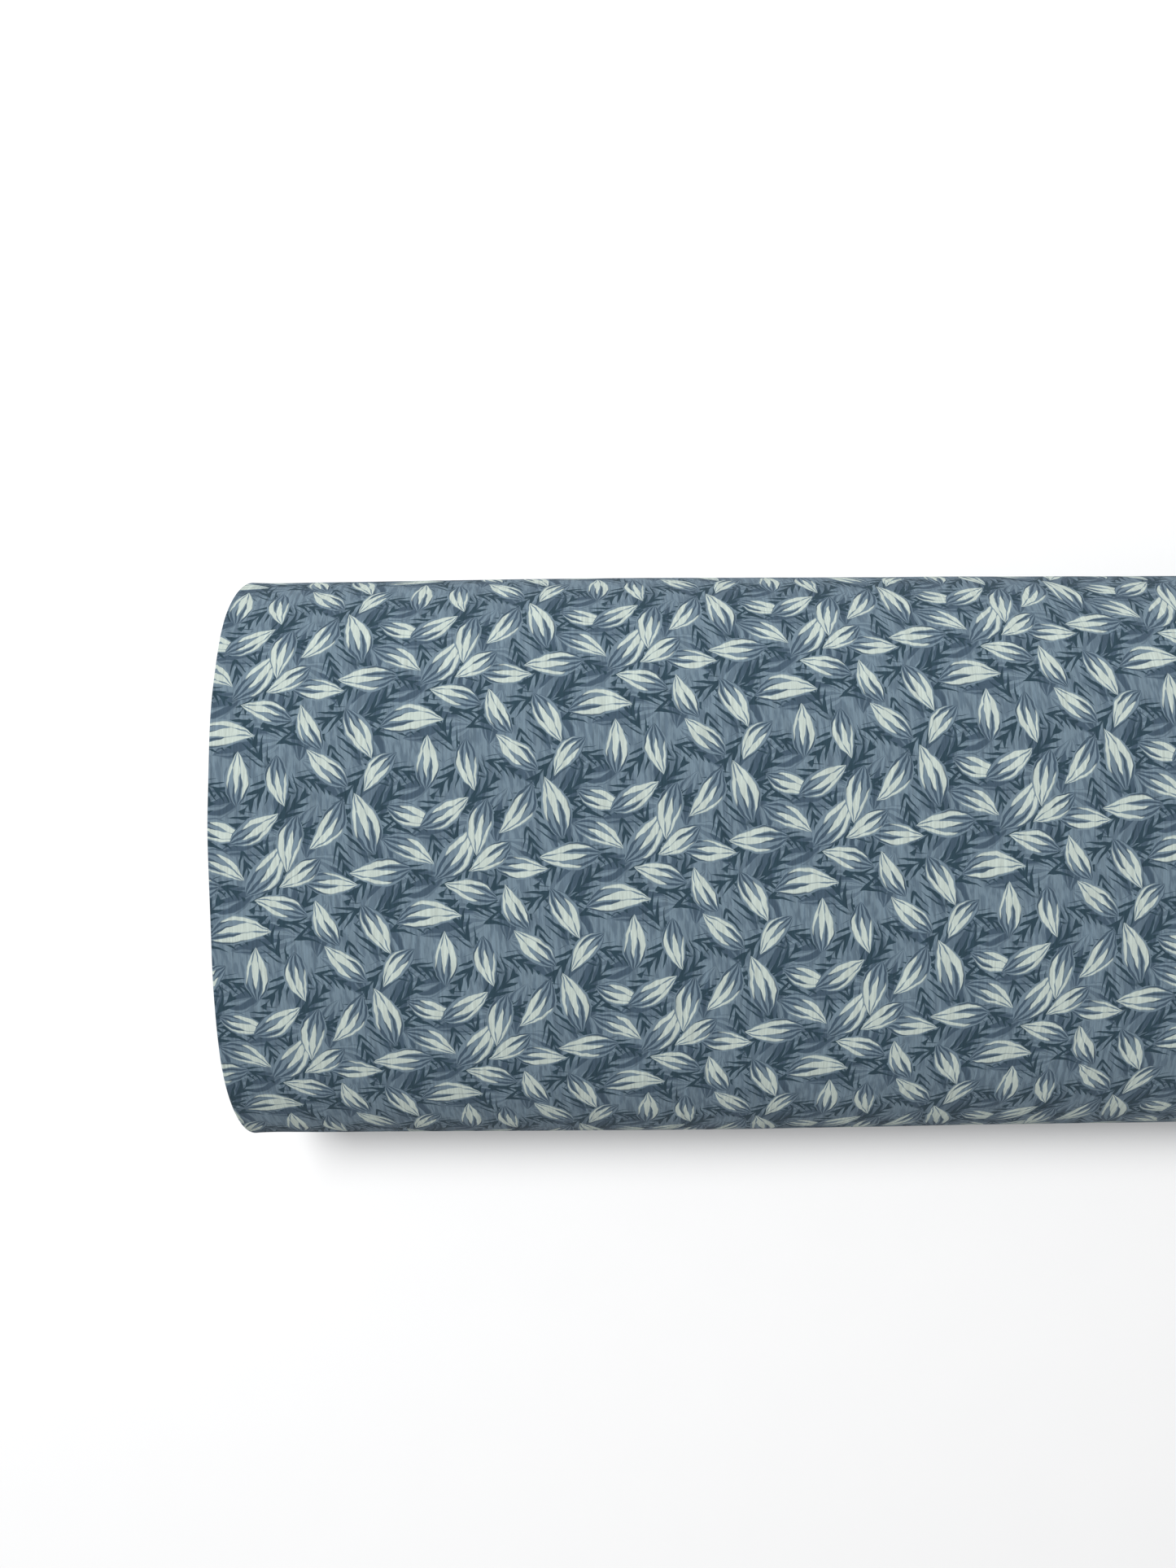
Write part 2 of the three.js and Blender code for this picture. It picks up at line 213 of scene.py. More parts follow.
class Nodes:
    """Adds shader nodes to a tree and links them."""

    def __init__(self, tree):
        self.tree = tree

    def add(self, kind, **attributes):
        node = self.tree.nodes.new(kind)
        for key, value in attributes.items():
            setattr(node, key, value)
        return node

    def put(self, socket, value):
        """Links a socket, or sets a plain value."""
        if isinstance(value, bpy.types.NodeSocket):
            self.tree.links.new(value, socket)
        elif socket.type == "RGBA" and len(value) == 3:
            socket.default_value = (*value, 1)
        else:
            socket.default_value = value

    def math(self, operation, *values, clamp=False):
        node = self.add("ShaderNodeMath", operation=operation, use_clamp=clamp)
        for socket, value in zip(node.inputs, values):
            self.put(socket, value)
        return node.outputs[0]

    def vector(self, operation, *values):
        node = self.add("ShaderNodeVectorMath", operation=operation)
        for socket, value in zip(node.inputs, values):
            self.put(socket, value)
        return node.outputs[0]

    def dot(self, one, other):
        node = self.add("ShaderNodeVectorMath", operation="DOT_PRODUCT")
        self.put(node.inputs[0], one)
        self.put(node.inputs[1], other)
        return node.outputs["Value"]

    def scaled(self, colour, factor):
        node = self.add("ShaderNodeVectorMath", operation="SCALE")
        self.put(node.inputs[0], colour)
        self.put(node.inputs["Scale"], factor)
        return node.outputs[0]

    def mapping(self, vector, rotation=(0, 0, 0), scale=(1, 1, 1)):
        node = self.add("ShaderNodeMapping")
        for name, value in (("Vector", vector), ("Rotation", rotation), ("Scale", scale)):
            self.put(node.inputs[name], value)
        return node.outputs[0]

    def split(self, vector):
        node = self.add("ShaderNodeSeparateXYZ")
        self.put(node.inputs[0], vector)
        return node.outputs

    def mix(self, share, under, over):
        node = self.add("ShaderNodeMix", data_type="RGBA")
        self.put(node.inputs["Factor"], share)
        self.put(node.inputs[MIX_UNDER], under)
        self.put(node.inputs[MIX_OVER], over)
        return node.outputs[MIX_RESULT]

    def range(self, value, low, high, to_low=0.0, to_high=1.0):
        node = self.add("ShaderNodeMapRange")
        for socket, number in zip(node.inputs, (value, low, high, to_low, to_high)):
            self.put(socket, number)
        return node.outputs[0]

    def noise(self, vector, scale=1.0, detail=2.0, roughness=0.5, distortion=0.0):
        node = self.add("ShaderNodeTexNoise")
        self.put(node.inputs["Vector"], vector)
        self.put(node.inputs["Scale"], scale)
        self.put(node.inputs["Detail"], detail)
        self.put(node.inputs["Roughness"], roughness)
        self.put(node.inputs["Distortion"], distortion)
        return node.outputs[0]

    def bump(self, height, distance):
        node = self.add("ShaderNodeBump")
        self.put(node.inputs["Distance"], distance)
        self.put(node.inputs["Height"], height)
        return node.outputs[0]

    def shade(self, colour, **sockets):
        """A Principled shader: underscores stand for the spaces in its sockets' names."""
        shader = self.add("ShaderNodeBsdfPrincipled")
        self.put(shader.inputs["Base Color"], colour)
        for name, value in sockets.items():
            self.put(shader.inputs[name.replace("_", " ")], value)
        output = self.add("ShaderNodeOutputMaterial")
        self.tree.links.new(shader.outputs[0], output.inputs["Surface"])


def new_material(name):
    """An empty material, and its nodes."""
    material = bpy.data.materials.new(name)
    material.use_nodes = True
    material.node_tree.nodes.clear()
    return material, Nodes(material.node_tree)


def object_coordinates(nodes):
    return nodes.add("ShaderNodeTexCoord").outputs["Object"]


def new_group(name, inputs, outputs):
    """A node group: inputs and outputs are (name, socket type) pairs."""
    tree = bpy.data.node_groups.new(name, "ShaderNodeTree")
    for label, kind in inputs:
        tree.interface.new_socket(label, in_out="INPUT", socket_type=kind)
    for label, kind in outputs:
        tree.interface.new_socket(label, in_out="OUTPUT", socket_type=kind)
    nodes = Nodes(tree)
    return tree, nodes, nodes.add("NodeGroupInput"), nodes.add("NodeGroupOutput")


# ---------------------------------------------------------------- print


# A motif's own coordinates run from -1 at its stalk to 1 at its tip, and the numbers below are in them.
LEAF_SKEW = -0.28  # fuller towards the stalk
LEAF_CRISPNESS = 26.0
STROKE_CRISPNESS = 4.0
NARROWEST = 0.02  # keeps a division finite at the leaf's two ends
COMB = 8.8  # radians of the comb of strokes from the midrib to the edge
COMB_SLANT = -0.25
FINGERS = (-0.68, 0.22, 1.05, -1.1)  # the pale strokes begin as fingers and close up
SLITS = (0.4, 1.0, -1.1, 0.1)  # slits open between them towards the tip
BARE_RIM = (0.86, 0.76)
DUSKY_COMB = 1.4  # times as fine as the pale comb
DUSKY_STROKES = (-0.95, 0.35, -0.6, 1.1)  # they fade out from the stalk
BARB_SLANT = -1.1
BARBS = 2.1
BARB_CUT = -1.35
SPRIG_TAPER = -0.2
STALK = 0.10
SPRIG_CRISPNESS = 12.0

PLACE_TRIES = 30
GOLDEN_SHARE = (math.sqrt(5) - 1) / 2  # of a turn, so that no two motifs in a row point alike
TURN_JITTER = 0.1
GROWTH = (0.85, 1.15)
BEND = (-0.55, 0.55)
PHASE = (-1.6, 1.6)
FILL = (-0.26, 0.12)

EDGE_STRAY = 0.0012  # metres that the print's edges wander
EDGE_STRAY_SCALE = 260
BRUSH_TURN = 0.6
BRUSH_SCALE = (520, 120, 1)
WASH = (0.46, 0.58)
BACK_LEAF_LONGER, BACK_LEAF_WIDER = 1.1, 1.3

PRINT_PLACES = [
    ("Cloth", "NodeSocketVector"),
    ("Centre", "NodeSocketVector"),
    ("Along", "NodeSocketVector"),
    ("Across", "NodeSocketVector"),
    ("Bend", "NodeSocketFloat"),
    ("Phase", "NodeSocketFloat"),
    ("Fill", "NodeSocketFloat"),
    ("Under", "NodeSocketColor"),
]


def leaf_place(nodes, given, repeat):
    """The motif's own coordinates along it and across its bent midrib, and 1 less along squared.
    Dot products turn the vectors, because shader code for a long chain of groups has to stay short."""
    low = (-repeat[0] / 2, -repeat[1] / 2, -1)
    high = (repeat[0] / 2, repeat[1] / 2, 1)
    apart = nodes.vector("SUBTRACT", given["Cloth"], given["Centre"])
    near = nodes.vector("WRAP", apart, high, low)
    along = nodes.dot(near, given["Along"])
    across = nodes.dot(near, given["Across"])
    square = nodes.math("MULTIPLY", along, along)
    inside = nodes.math("SUBTRACT", 1.0, square, clamp=True)
    lean = nodes.math("MULTIPLY_ADD", inside, given["Bend"], across)
    return along, lean, inside


def leaf_group(repeat):
    """A pointed leaf: its body, with dusky strokes from the stalk and pale strokes from the tip."""
    colours = [("Body", "NodeSocketColor"), ("Stroke", "NodeSocketColor"), ("Pale", "NodeSocketColor")]
    tree, nodes, given, result = new_group(
        "leaf", PRINT_PLACES + colours, [("Colour", "NodeSocketColor")]
    )
    given = given.outputs
    along, lean, inside = leaf_place(nodes, given, repeat)
    skew = nodes.math("MULTIPLY_ADD", along, LEAF_SKEW, 1.0)
    edge = nodes.math("MULTIPLY", inside, skew)
    reach = nodes.math("ABSOLUTE", lean)
    body = nodes.math("MULTIPLY", nodes.math("SUBTRACT", edge, reach), LEAF_CRISPNESS, clamp=True)
    vein = nodes.math("DIVIDE", lean, nodes.math("MAXIMUM", edge, NARROWEST))
    wave = nodes.math("MULTIPLY_ADD", vein, COMB, given["Phase"])
    comb = nodes.math("COSINE", wave)
    shift = nodes.math("ADD", nodes.math("MULTIPLY_ADD", vein, COMB_SLANT, along), given["Fill"])
    finger_limit = nodes.range(shift, *FINGERS)
    slit_limit = nodes.range(along, *SLITS)
    pale_limit = nodes.math("MAXIMUM", finger_limit, slit_limit)
    pale = nodes.math("MULTIPLY", nodes.math("SUBTRACT", comb, pale_limit), STROKE_CRISPNESS, clamp=True)
    rim = nodes.range(nodes.math("ABSOLUTE", vein), *BARE_RIM)
    pale = nodes.math("MULTIPLY", nodes.math("MULTIPLY", pale, rim), body)
    comb = nodes.math("SINE", nodes.math("MULTIPLY", wave, DUSKY_COMB))
    stroke_limit = nodes.range(along, *DUSKY_STROKES)
    stroke = nodes.math("MULTIPLY", nodes.math("SUBTRACT", comb, stroke_limit), STROKE_CRISPNESS, clamp=True)
    painted = nodes.mix(body, given["Under"], given["Body"])
    painted = nodes.mix(nodes.math("MULTIPLY", stroke, body), painted, given["Stroke"])
    painted = nodes.mix(pale, painted, given["Pale"])
    nodes.put(result.inputs[0], painted)
    return tree


def sprig_group(repeat):
    """A dark sprig: a tapered stalk with barbs that lean towards its tip."""
    tree, nodes, given, result = new_group(
        "sprig", PRINT_PLACES + [("Ink", "NodeSocketColor")], [("Colour", "NodeSocketColor")]
    )
    given = given.outputs
    along, lean, inside = leaf_place(nodes, given, repeat)
    reach = nodes.math("ABSOLUTE", lean)
    slant = nodes.math("MULTIPLY_ADD", reach, BARB_SLANT, along)
    saw = nodes.math("FRACT", nodes.math("MULTIPLY_ADD", slant, BARBS, given["Phase"]))
    width = nodes.math("MULTIPLY", inside, nodes.math("MULTIPLY_ADD", along, SPRIG_TAPER, 1.0))
    barb = nodes.math("MULTIPLY", width, nodes.math("MULTIPLY_ADD", saw, BARB_CUT, 1.0))
    stalk = nodes.math("MULTIPLY", inside, STALK)
    spread = nodes.math("MAXIMUM", barb, stalk)
    mask = nodes.math("MULTIPLY", nodes.math("SUBTRACT", spread, reach), SPRIG_CRISPNESS, clamp=True)
    nodes.put(result.inputs[0], nodes.mix(mask, given["Under"], given["Ink"]))
    return tree


def tossed(count, repeat, chance):
    """Places spread over one repeat: each is the one of many tries that is furthest from the rest."""
    places = []
    for _ in range(count):
        best, best_gap = None, -1.0
        for _ in range(PLACE_TRIES):
            x, y = chance.uniform(0, repeat[0]), chance.uniform(0, repeat[1])
            gap = min((wrapped_distance((x, y), p, repeat) for p in places), default=1.0)
            if gap > best_gap:
                best, best_gap = (x, y), gap
        places.append(best)
    return places


def wrapped_distance(a, b, repeat):
    """How far apart two places are on a print that repeats."""
    dx, dy = abs(a[0] - b[0]), abs(a[1] - b[1])
    return math.hypot(min(dx, repeat[0] - dx), min(dy, repeat[1] - dy))


class Tosser:
    """Chains leaf and sprig groups, each painted over the colour below it."""

    def __init__(self, nodes, cloth, seed):
        self.nodes = nodes
        self.cloth = cloth
        self.chance = random.Random(seed)

    def toss(self, make, repeat, under, count, length, width, **colours):
        tree = make(repeat)
        for turn, (x, y) in enumerate(tossed(count, repeat, self.chance)):
            node = self.nodes.add("ShaderNodeGroup")
            node.node_tree = tree
            grow = self.chance.uniform(*GROWTH)
            self.nodes.put(node.inputs["Cloth"], self.cloth)
            node.inputs["Centre"].default_value = (x, y, 0)
            angle = TURN * (turn * GOLDEN_SHARE + self.chance.uniform(0, TURN_JITTER))
            long, wide = 2 / (length * grow), 2 / (width * grow)
            node.inputs["Along"].default_value = (math.cos(angle) * long, math.sin(angle) * long, 0)
            node.inputs["Across"].default_value = (-math.sin(angle) * wide, math.cos(angle) * wide, 0)
            node.inputs["Bend"].default_value = self.chance.uniform(*BEND)
            node.inputs["Phase"].default_value = self.chance.uniform(*PHASE)
            node.inputs["Fill"].default_value = self.chance.uniform(*FILL)
            self.nodes.put(node.inputs["Under"], under)
            for name, value in colours.items():
                self.nodes.put(node.inputs[name], value)
            under = node.outputs[0]
        return under


def printed_colour(nodes, cloth, look):
    """The print on cloth coordinates, in metres across and along the cloth."""
    repeat = (look.repeat_across, look.repeat_along)
    turned = nodes.mapping(cloth, rotation=(0, 0, look.skew))
    wobble = nodes.add("ShaderNodeTexNoise")
    nodes.put(wobble.inputs["Vector"], turned)
    wobble.inputs["Scale"].default_value = EDGE_STRAY_SCALE
    wobble.inputs["Detail"].default_value = 1
    shake = nodes.vector("MULTIPLY_ADD", wobble.outputs["Color"], (EDGE_STRAY, EDGE_STRAY, 0), turned)
    tosser = Tosser(nodes, shake, look.seed)
    half, quarter = (repeat[0], repeat[1] / 2), (repeat[0] / 2, repeat[1] / 2)
    brushed = nodes.noise(nodes.mapping(turned, rotation=(0, 0, BRUSH_TURN), scale=BRUSH_SCALE))
    wash = nodes.range(brushed, *WASH)
    painted = nodes.mix(wash, look.ground, look.ground_shade)
    long, wide = look.leaf_length * BACK_LEAF_LONGER, look.leaf_width * BACK_LEAF_WIDER
    painted = tosser.toss(
        leaf_group, half, painted, look.back_leaves, long, wide,
        Body=look.ground_shade, Stroke=look.ground, Pale=look.dusk,
    )
    painted = tosser.toss(
        sprig_group, quarter, painted, look.sprigs, look.sprig_length, look.sprig_width, Ink=look.night
    )
    return tosser.toss(
        leaf_group, repeat, painted, look.leaves, look.leaf_length, look.leaf_width,
        Body=look.ground, Stroke=look.dusk, Pale=look.mint,
    )


THREAD_PITCH = 0.00036
PRINT_EDGE_BLUR = 0.0002
SLUB_SCALE = (1300, 75, 1)
CRINKLE_SCALE = (170, 30, 1)
SLUB_TONES = (0.25, 0.75, 0.80, 1.17)  # noise values, and the brightness that they give
SLUB_RELIEF, WEAVE_RELIEF, CRINKLE_RELIEF = 2.2, 0.35, 8.0  # parts of the relief's height
CLOTH_RELIEF = 0.00009


def cloth_material(look, half_width):
    """Matte plain-weave cotton with the leaf print and unprinted selvedges."""
    material, nodes = new_material("printed_cotton")
    cloth = nodes.add("ShaderNodeUVMap", uv_map="cloth").outputs[0]
    across, along, _ = nodes.split(cloth)
    painted = printed_colour(nodes, cloth, look)
    reach = nodes.math("ABSOLUTE", across)
    edge = half_width - look.selvedge_width
    bare = nodes.range(reach, edge - PRINT_EDGE_BLUR, edge + PRINT_EDGE_BLUR)
    painted = nodes.mix(bare, painted, look.selvedge)
    slub = nodes.noise(nodes.mapping(cloth, scale=SLUB_SCALE), detail=2.0, roughness=0.6)
    crinkle = nodes.noise(nodes.mapping(cloth, scale=CRINKLE_SCALE), detail=2.0)
    tint = nodes.scaled(painted, nodes.range(slub, *SLUB_TONES))
    thread = TURN / THREAD_PITCH
    warp = nodes.math("COSINE", nodes.math("MULTIPLY", across, thread))
    weft = nodes.math("COSINE", nodes.math("MULTIPLY", along, thread))
    weave = nodes.math("MULTIPLY", warp, weft)
    height = nodes.math("MULTIPLY_ADD", slub, SLUB_RELIEF, nodes.math("MULTIPLY", weave, WEAVE_RELIEF))
    height = nodes.math("MULTIPLY_ADD", crinkle, CRINKLE_RELIEF, height)
    nodes.shade(
        tint, Roughness=0.88, Normal=nodes.bump(height, CLOTH_RELIEF),
        Sheen_Weight=0.03, Sheen_Roughness=0.5, Specular_IOR_Level=0.12,
    )
    return material


# ---------------------------------------------------------------- other finishes


PAPER_RELIEF, CARD_RELIEF, WIRE_RELIEF = 0.00008, 0.00003, 0.00001
RULE_HALF = 0.00022  # half the width of a ruled line
RULE_HEIGHTS = (0.0030, 0.0068, 0.0106)  # above the card's lower edge
RULE_STOPS = (-0.052, 0.004, 0.048)  # across the bolt, from its middle line
FIELD_HALF_HEIGHT, FIELD_HALF_WIDTH = 0.0040, 0.084


def paper_material(name, colour, grain=900.0, roughness=0.85):
    """Kraft paper: mottled, with fibres that run along the bolt."""
    material, nodes = new_material(name)
    place = object_coordinates(nodes)
    blotch = nodes.noise(place, scale=60, detail=4)
    fibre = nodes.noise(nodes.mapping(place, scale=(0.25, 1, 1)), scale=grain, detail=3, roughness=0.7)
    fleck = nodes.noise(nodes.mapping(place, scale=(0.5, 1, 1)), scale=grain * 0.55, detail=0)
    mottled = nodes.range(blotch, NOISE_LOW, NOISE_HIGH, 0.88, 1.08)
    streaked = nodes.range(fibre, NOISE_LOW, NOISE_HIGH, 0.86, 1.1)
    flecked = nodes.range(fleck, 0.70, 0.76, 1.0, 0.62)
    tint = nodes.scaled(colour, nodes.math("MULTIPLY", nodes.math("MULTIPLY", mottled, streaked), flecked))
    relief = nodes.bump(nodes.math("MULTIPLY_ADD", blotch, 2.0, fibre), PAPER_RELIEF)
    nodes.shade(tint, Roughness=roughness, Normal=relief, Specular_IOR_Level=0.3)
    return material


def card_material(look):
    """White card with ruled, empty fields on the face that covers the board's end."""
    material, nodes = new_material("ruled_card")
    place = nodes.add("ShaderNodeUVMap", uv_map="card").outputs[0]
    along, up, _ = nodes.split(place)
    rules = 0.0
    for height in RULE_HEIGHTS:
        rules = nodes.math("MAXIMUM", rules, nodes.math("COMPARE", up, height, RULE_HALF))
    for stop in RULE_STOPS:
        rules = nodes.math("MAXIMUM", rules, nodes.math("COMPARE", along, stop, RULE_HALF))
    in_height = nodes.math("COMPARE", up, RULE_HEIGHTS[1], FIELD_HALF_HEIGHT)
    in_width = nodes.math("COMPARE", along, 0.0, FIELD_HALF_WIDTH)
    rules = nodes.math("MULTIPLY", nodes.math("MULTIPLY", rules, in_height), in_width)
    fibre = nodes.noise(object_coordinates(nodes), scale=1400, detail=3)
    painted = nodes.mix(nodes.range(fibre, NOISE_LOW, NOISE_HIGH, 0.0, 0.12), look.card, look.ink)
    painted = nodes.mix(nodes.math("MULTIPLY", rules, 0.75), painted, look.ink)
    nodes.shade(painted, Roughness=0.55, Normal=nodes.bump(fibre, CARD_RELIEF), Specular_IOR_Level=0.4)
    return material


def steel_material(look):
    """Nickel-plated wire with fine drawing marks along it."""
    material, nodes = new_material("nickel_wire")
    place = object_coordinates(nodes)
    marks = nodes.noise(nodes.mapping(place, scale=(0.05, 1, 1)), scale=9000, detail=2)
    rough = nodes.range(marks, NOISE_LOW, NOISE_HIGH, 0.16, 0.30)
    nodes.shade(look.steel, Metallic=1.0, Roughness=rough, Normal=nodes.bump(marks, WIRE_RELIEF))
    return material


def glass_material(look):
    """Opaque pearl glass, slightly swirled."""
    material, nodes = new_material("pearl_glass")
    swirl = nodes.noise(object_coordinates(nodes), scale=700, detail=2, distortion=1.5)
    dim = tuple(0.88 * part for part in look.glass)
    tint = nodes.mix(swirl, look.glass, dim)
    nodes.shade(tint, Roughness=0.12, Coat_Weight=0.5, Coat_Roughness=0.04)
    return material


def floor_material(look):
    """Matte, almost even white."""
    material, nodes = new_material("pale_floor")
    grain = nodes.noise(object_coordinates(nodes), scale=30, detail=3)
    dim = tuple(0.985 * part for part in look.floor)
    nodes.shade(nodes.mix(grain, look.floor, dim), Roughness=0.7, Specular_IOR_Level=0.2)
    return material


# ---------------------------------------------------------------- winding


WINDING_STEPS = 720  # in one turn
TAIL_END_GAP = 0.0004  # from the tail's cut end to the lower side of its box
SIDE_SQUARENESS_FADE = 1.5  # the board's square corners fade quickly in the turns on it
BELLY_ROUNDING = 0.0015  # how softly the belly goes over into its flat
SHARPEST_BEND = math.radians(9)  # in one mesh step


class Winding:
    """The line that the middle of the doubled cloth follows, from the board outwards.
    Its angle is 0 above the board's middle and grows towards +y."""

    def __init__(self, look):
        self.look = look
        half = look.layer_step / 2 + look.thickness / 2
        self.under_start = TURN * look.turns
        self.outer_start = self.under_start + math.pi
        stop = self.outer_start + TURN
        angle = np.linspace(0, stop, int(WINDING_STEPS * stop / TURN) + 1)
        across, height = self.section(angle, half)
        step = np.hypot(np.diff(across), np.diff(height))
        length = np.concatenate([[0], np.cumsum(step)])
        above_end = PLANE_Z + height > TAIL_LOW.z + TAIL_END_GAP
        on_tail = angle > self.outer_start + 0.75 * math.pi
        last = int(np.argmax(on_tail & ~above_end & (across > 0)))
        keep = slice(0, last + 1)
        self.angle, self.across, self.height = angle[keep], across[keep], height[keep] + PLANE_Z
        self.length = length[keep]
        along_y, along_z = np.gradient(self.across), np.gradient(self.height)
        size = np.hypot(along_y, along_z)
        self.normal_y, self.normal_z = -along_z / size, along_y / size
        heading = np.unwrap(np.arctan2(along_z, along_y))
        self.bending = np.concatenate([[0], np.cumsum(np.abs(np.diff(heading)))])

    def section(self, angle, half):
        """Across and height at each angle. The winding grows from the board's section to the pack's, and
        each share below reaches 1 where the winding last passes that side of the pack."""
        look, turns = self.look, self.look.turns
        side = np.pi / 2 - angle
        right, up = np.cos(side), np.sin(side)
        share = np.clip(angle / (TURN * (turns + 1)), 0, 1)
        squareness = (1 - share) ** SIDE_SQUARENESS_FADE
        power = look.fullness + (look.core_fullness - look.fullness) * squareness
        inner_half = BOARD_HALF + look.tape_room + half
        inner_height = BOARD_TOP + look.tape_room + half
        under = PACK_HALF - look.recess - half
        near = inner_half + (under - inner_half) * angle / (TURN * (turns + 0.25))
        near = np.where(angle > TURN * (turns + 1), PACK_HALF - half, near)
        far_share = np.clip(angle / (TURN * (turns + 0.75)), 0, 1)
        far = inner_half + (PACK_HALF - half - inner_half) * far_share
        crown = inner_height + (CROWN - half - inner_height) * share
        belly_share = np.clip(angle / (TURN * (turns + 0.5)), 0, 1)
        belly = inner_height + (PLANE_Z + look.flattening - half - inner_height) * belly_share
        bulge = np.sqrt(np.clip(1 - np.abs(right) ** power, 0, 1))
        across = np.where(right >= 0, near, far) * right
        down = belly * bulge
        limit = belly - look.flattening * belly_share
        soft = BELLY_ROUNDING
        over = np.maximum(down - (limit - soft), 0)
        down = np.where(over > 0, limit - soft + soft * (1 - np.exp(-over / soft)), down)
        return across, np.where(up >= 0, crown * bulge, -down)

    def rows(self, start, stop, step):
        """Rows between two angles, closer together where the winding bends."""
        first, last = np.searchsorted(self.angle, (start, stop))
        last = min(last, len(self.angle) - 1)
        pick = slice(first, last + 1)
        spent = self.length[pick] / step + self.bending[pick] / SHARPEST_BEND
        spent = spent - spent[0]
        count = int(spent[-1]) + 2
        wanted = np.linspace(0, spent[-1], count)
        channels = (self.angle, self.across, self.height, self.normal_y, self.normal_z, self.length)
        return Rows(*(np.interp(wanted, spent, channel[pick]) for channel in channels))


class Rows:
    """Cross lines of a cloth piece: where each lies on the winding, and how it strays."""

    def __init__(self, angle, y, z, normal_y, normal_z, length):
        self.angle, self.y, self.z, self.length = angle, y, z, length
        self.normal_y, self.normal_z = normal_y, normal_z

    def shift(self, outwards):
        """Moves the rows off their line."""
        self.y = self.y + self.normal_y * outwards
        self.z = self.z + self.normal_z * outwards


HEM_BEND_STEPS, HEM_STEPS = 6, 7


def hem_rows(rows, size, radius):
    """Turns the cloth's cut end under and lays it back along the tail."""
    turning = np.linspace(0, math.pi, HEM_BEND_STEPS + 1)[1:-1]
    end_y, end_z, out_y, out_z = rows.y[-1], rows.z[-1], rows.normal_y[-1], rows.normal_z[-1]
    ahead_y, ahead_z = out_z, -out_y
    turn_ny = out_y * np.cos(turning) + ahead_y * np.sin(turning)
    turn_nz = out_z * np.cos(turning) + ahead_z * np.sin(turning)
    middle_y, middle_z = end_y - out_y * radius, end_z - out_z * radius
    laid = np.linspace(0, size, HEM_STEPS + 1)
    channels = (rows.y, rows.z, rows.normal_y, rows.normal_z)
    lie_y, lie_z, lie_ny, lie_nz = (np.interp(rows.length[-1] - laid, rows.length, c) for c in channels)
    end = rows.length[-1]
    return Rows(
        np.concatenate([rows.angle, np.full(len(turning) + len(laid), rows.angle[-1])]),
        np.concatenate([rows.y, middle_y + turn_ny * radius, lie_y - 2 * radius * lie_ny]),
        np.concatenate([rows.z, middle_z + turn_nz * radius, lie_z - 2 * radius * lie_nz]),
        np.concatenate([rows.normal_y, turn_ny, -lie_ny]),
        np.concatenate([rows.normal_z, turn_nz, -lie_nz]),
        np.concatenate([rows.length, end + turning * radius, end + math.pi * radius + laid]),
    )


NEAR_FOLD = [0.0012, 0.0025, 0.0045, 0.0075, 0.0120]  # column distances where the cloth bends most
FOLD_STEPS = 6


def folded_columns(step, inner_count):
    """Columns across the cloth, from the outer selvedge round the fold to the inner one.
    Each is (side, distance from the fold, angle round the fold)."""
    width = SELVEDGE_X - FOLD_X
    outer = list(np.linspace(width, NEAR_FOLD[-1], max(3, int(width / step)), endpoint=False))
    inner = list(np.linspace(NEAR_FOLD[-1], width, inner_count + 1)[1:])
    columns = [(1, distance, 0.0) for distance in outer + NEAR_FOLD[::-1]]
    columns += [(0, 0.0, angle) for angle in np.linspace(QUARTER_TURN, -QUARTER_TURN, FOLD_STEPS + 1)]
    columns += [(-1, distance, 0.0) for distance in NEAR_FOLD + inner]
    return np.array(columns)


FOLD_EASE = 0.012  # from the fold to where the two layers lie flat on each other
FOLD_PINCHED, FOLD_PUFFED = 0.95, 1.05  # its half height at the sides and the gain above, in layer steps
SELVEDGE_SHARE = 8  # the power that keeps a selvedge's unevenness near it

# Each unevenness along the cloth has a wavelength in metres, and an offset that sets it apart from the rest.
FOLD_PUFFS = (0.045, 3.3)
FOLD_DRIFT, FOLD_RIPPLE = (0.21, 0.7), (0.037, 9.1)
SELVEDGES_APART, SELVEDGES_TOGETHER = (0.17, 5.2), (0.3, 2.2)
LOOSE_TURNS = (0.085, 4.4)


